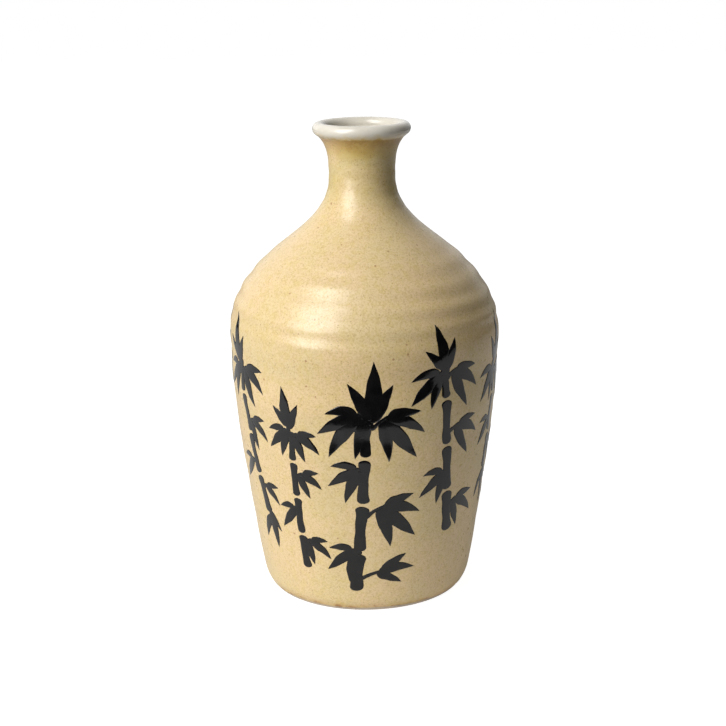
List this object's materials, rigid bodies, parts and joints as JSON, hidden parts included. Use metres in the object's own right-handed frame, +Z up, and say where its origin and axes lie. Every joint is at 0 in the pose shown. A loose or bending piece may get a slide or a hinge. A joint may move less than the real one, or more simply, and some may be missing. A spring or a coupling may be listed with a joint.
{
  "type": "sake bottle",
  "caption": "Wide-shouldered stoneware bottle with a narrow neck and rolled lip, white glaze inside, tan glaze outside and black brushed bamboo.",
  "frame": {"origin": "centre of the foot, on the surface that the bottle stands on", "axes": "+Z up along the bottle's axis, -Y towards the front of the brushwork"},
  "size_m": [0.1083, 0.1082, 0.19],
  "materials": {
    "clay": "bare fired stoneware, matt and slightly sandy",
    "tan_glaze": "satin tan glaze with fine dark iron specks",
    "white_glaze": "glossy off-white glaze",
    "black_glaze": "glossy black brushed glaze"
  },
  "bodies": {
    "root": {"clay_body": "clay", "outer_glaze": "tan_glaze", "liner_glaze": "white_glaze", "brushwork_front": "black_glaze", "brushwork_right": "black_glaze", "brushwork_far_right": "black_glaze", "brushwork_right_rear": "black_glaze", "brushwork_back_right": "black_glaze", "brushwork_back": "black_glaze", "brushwork_back_left": "black_glaze", "brushwork_left_rear": "black_glaze", "brushwork_side_left": "black_glaze", "brushwork_far_left": "black_glaze", "brushwork_left": "black_glaze"}
  },
  "joints": []
}
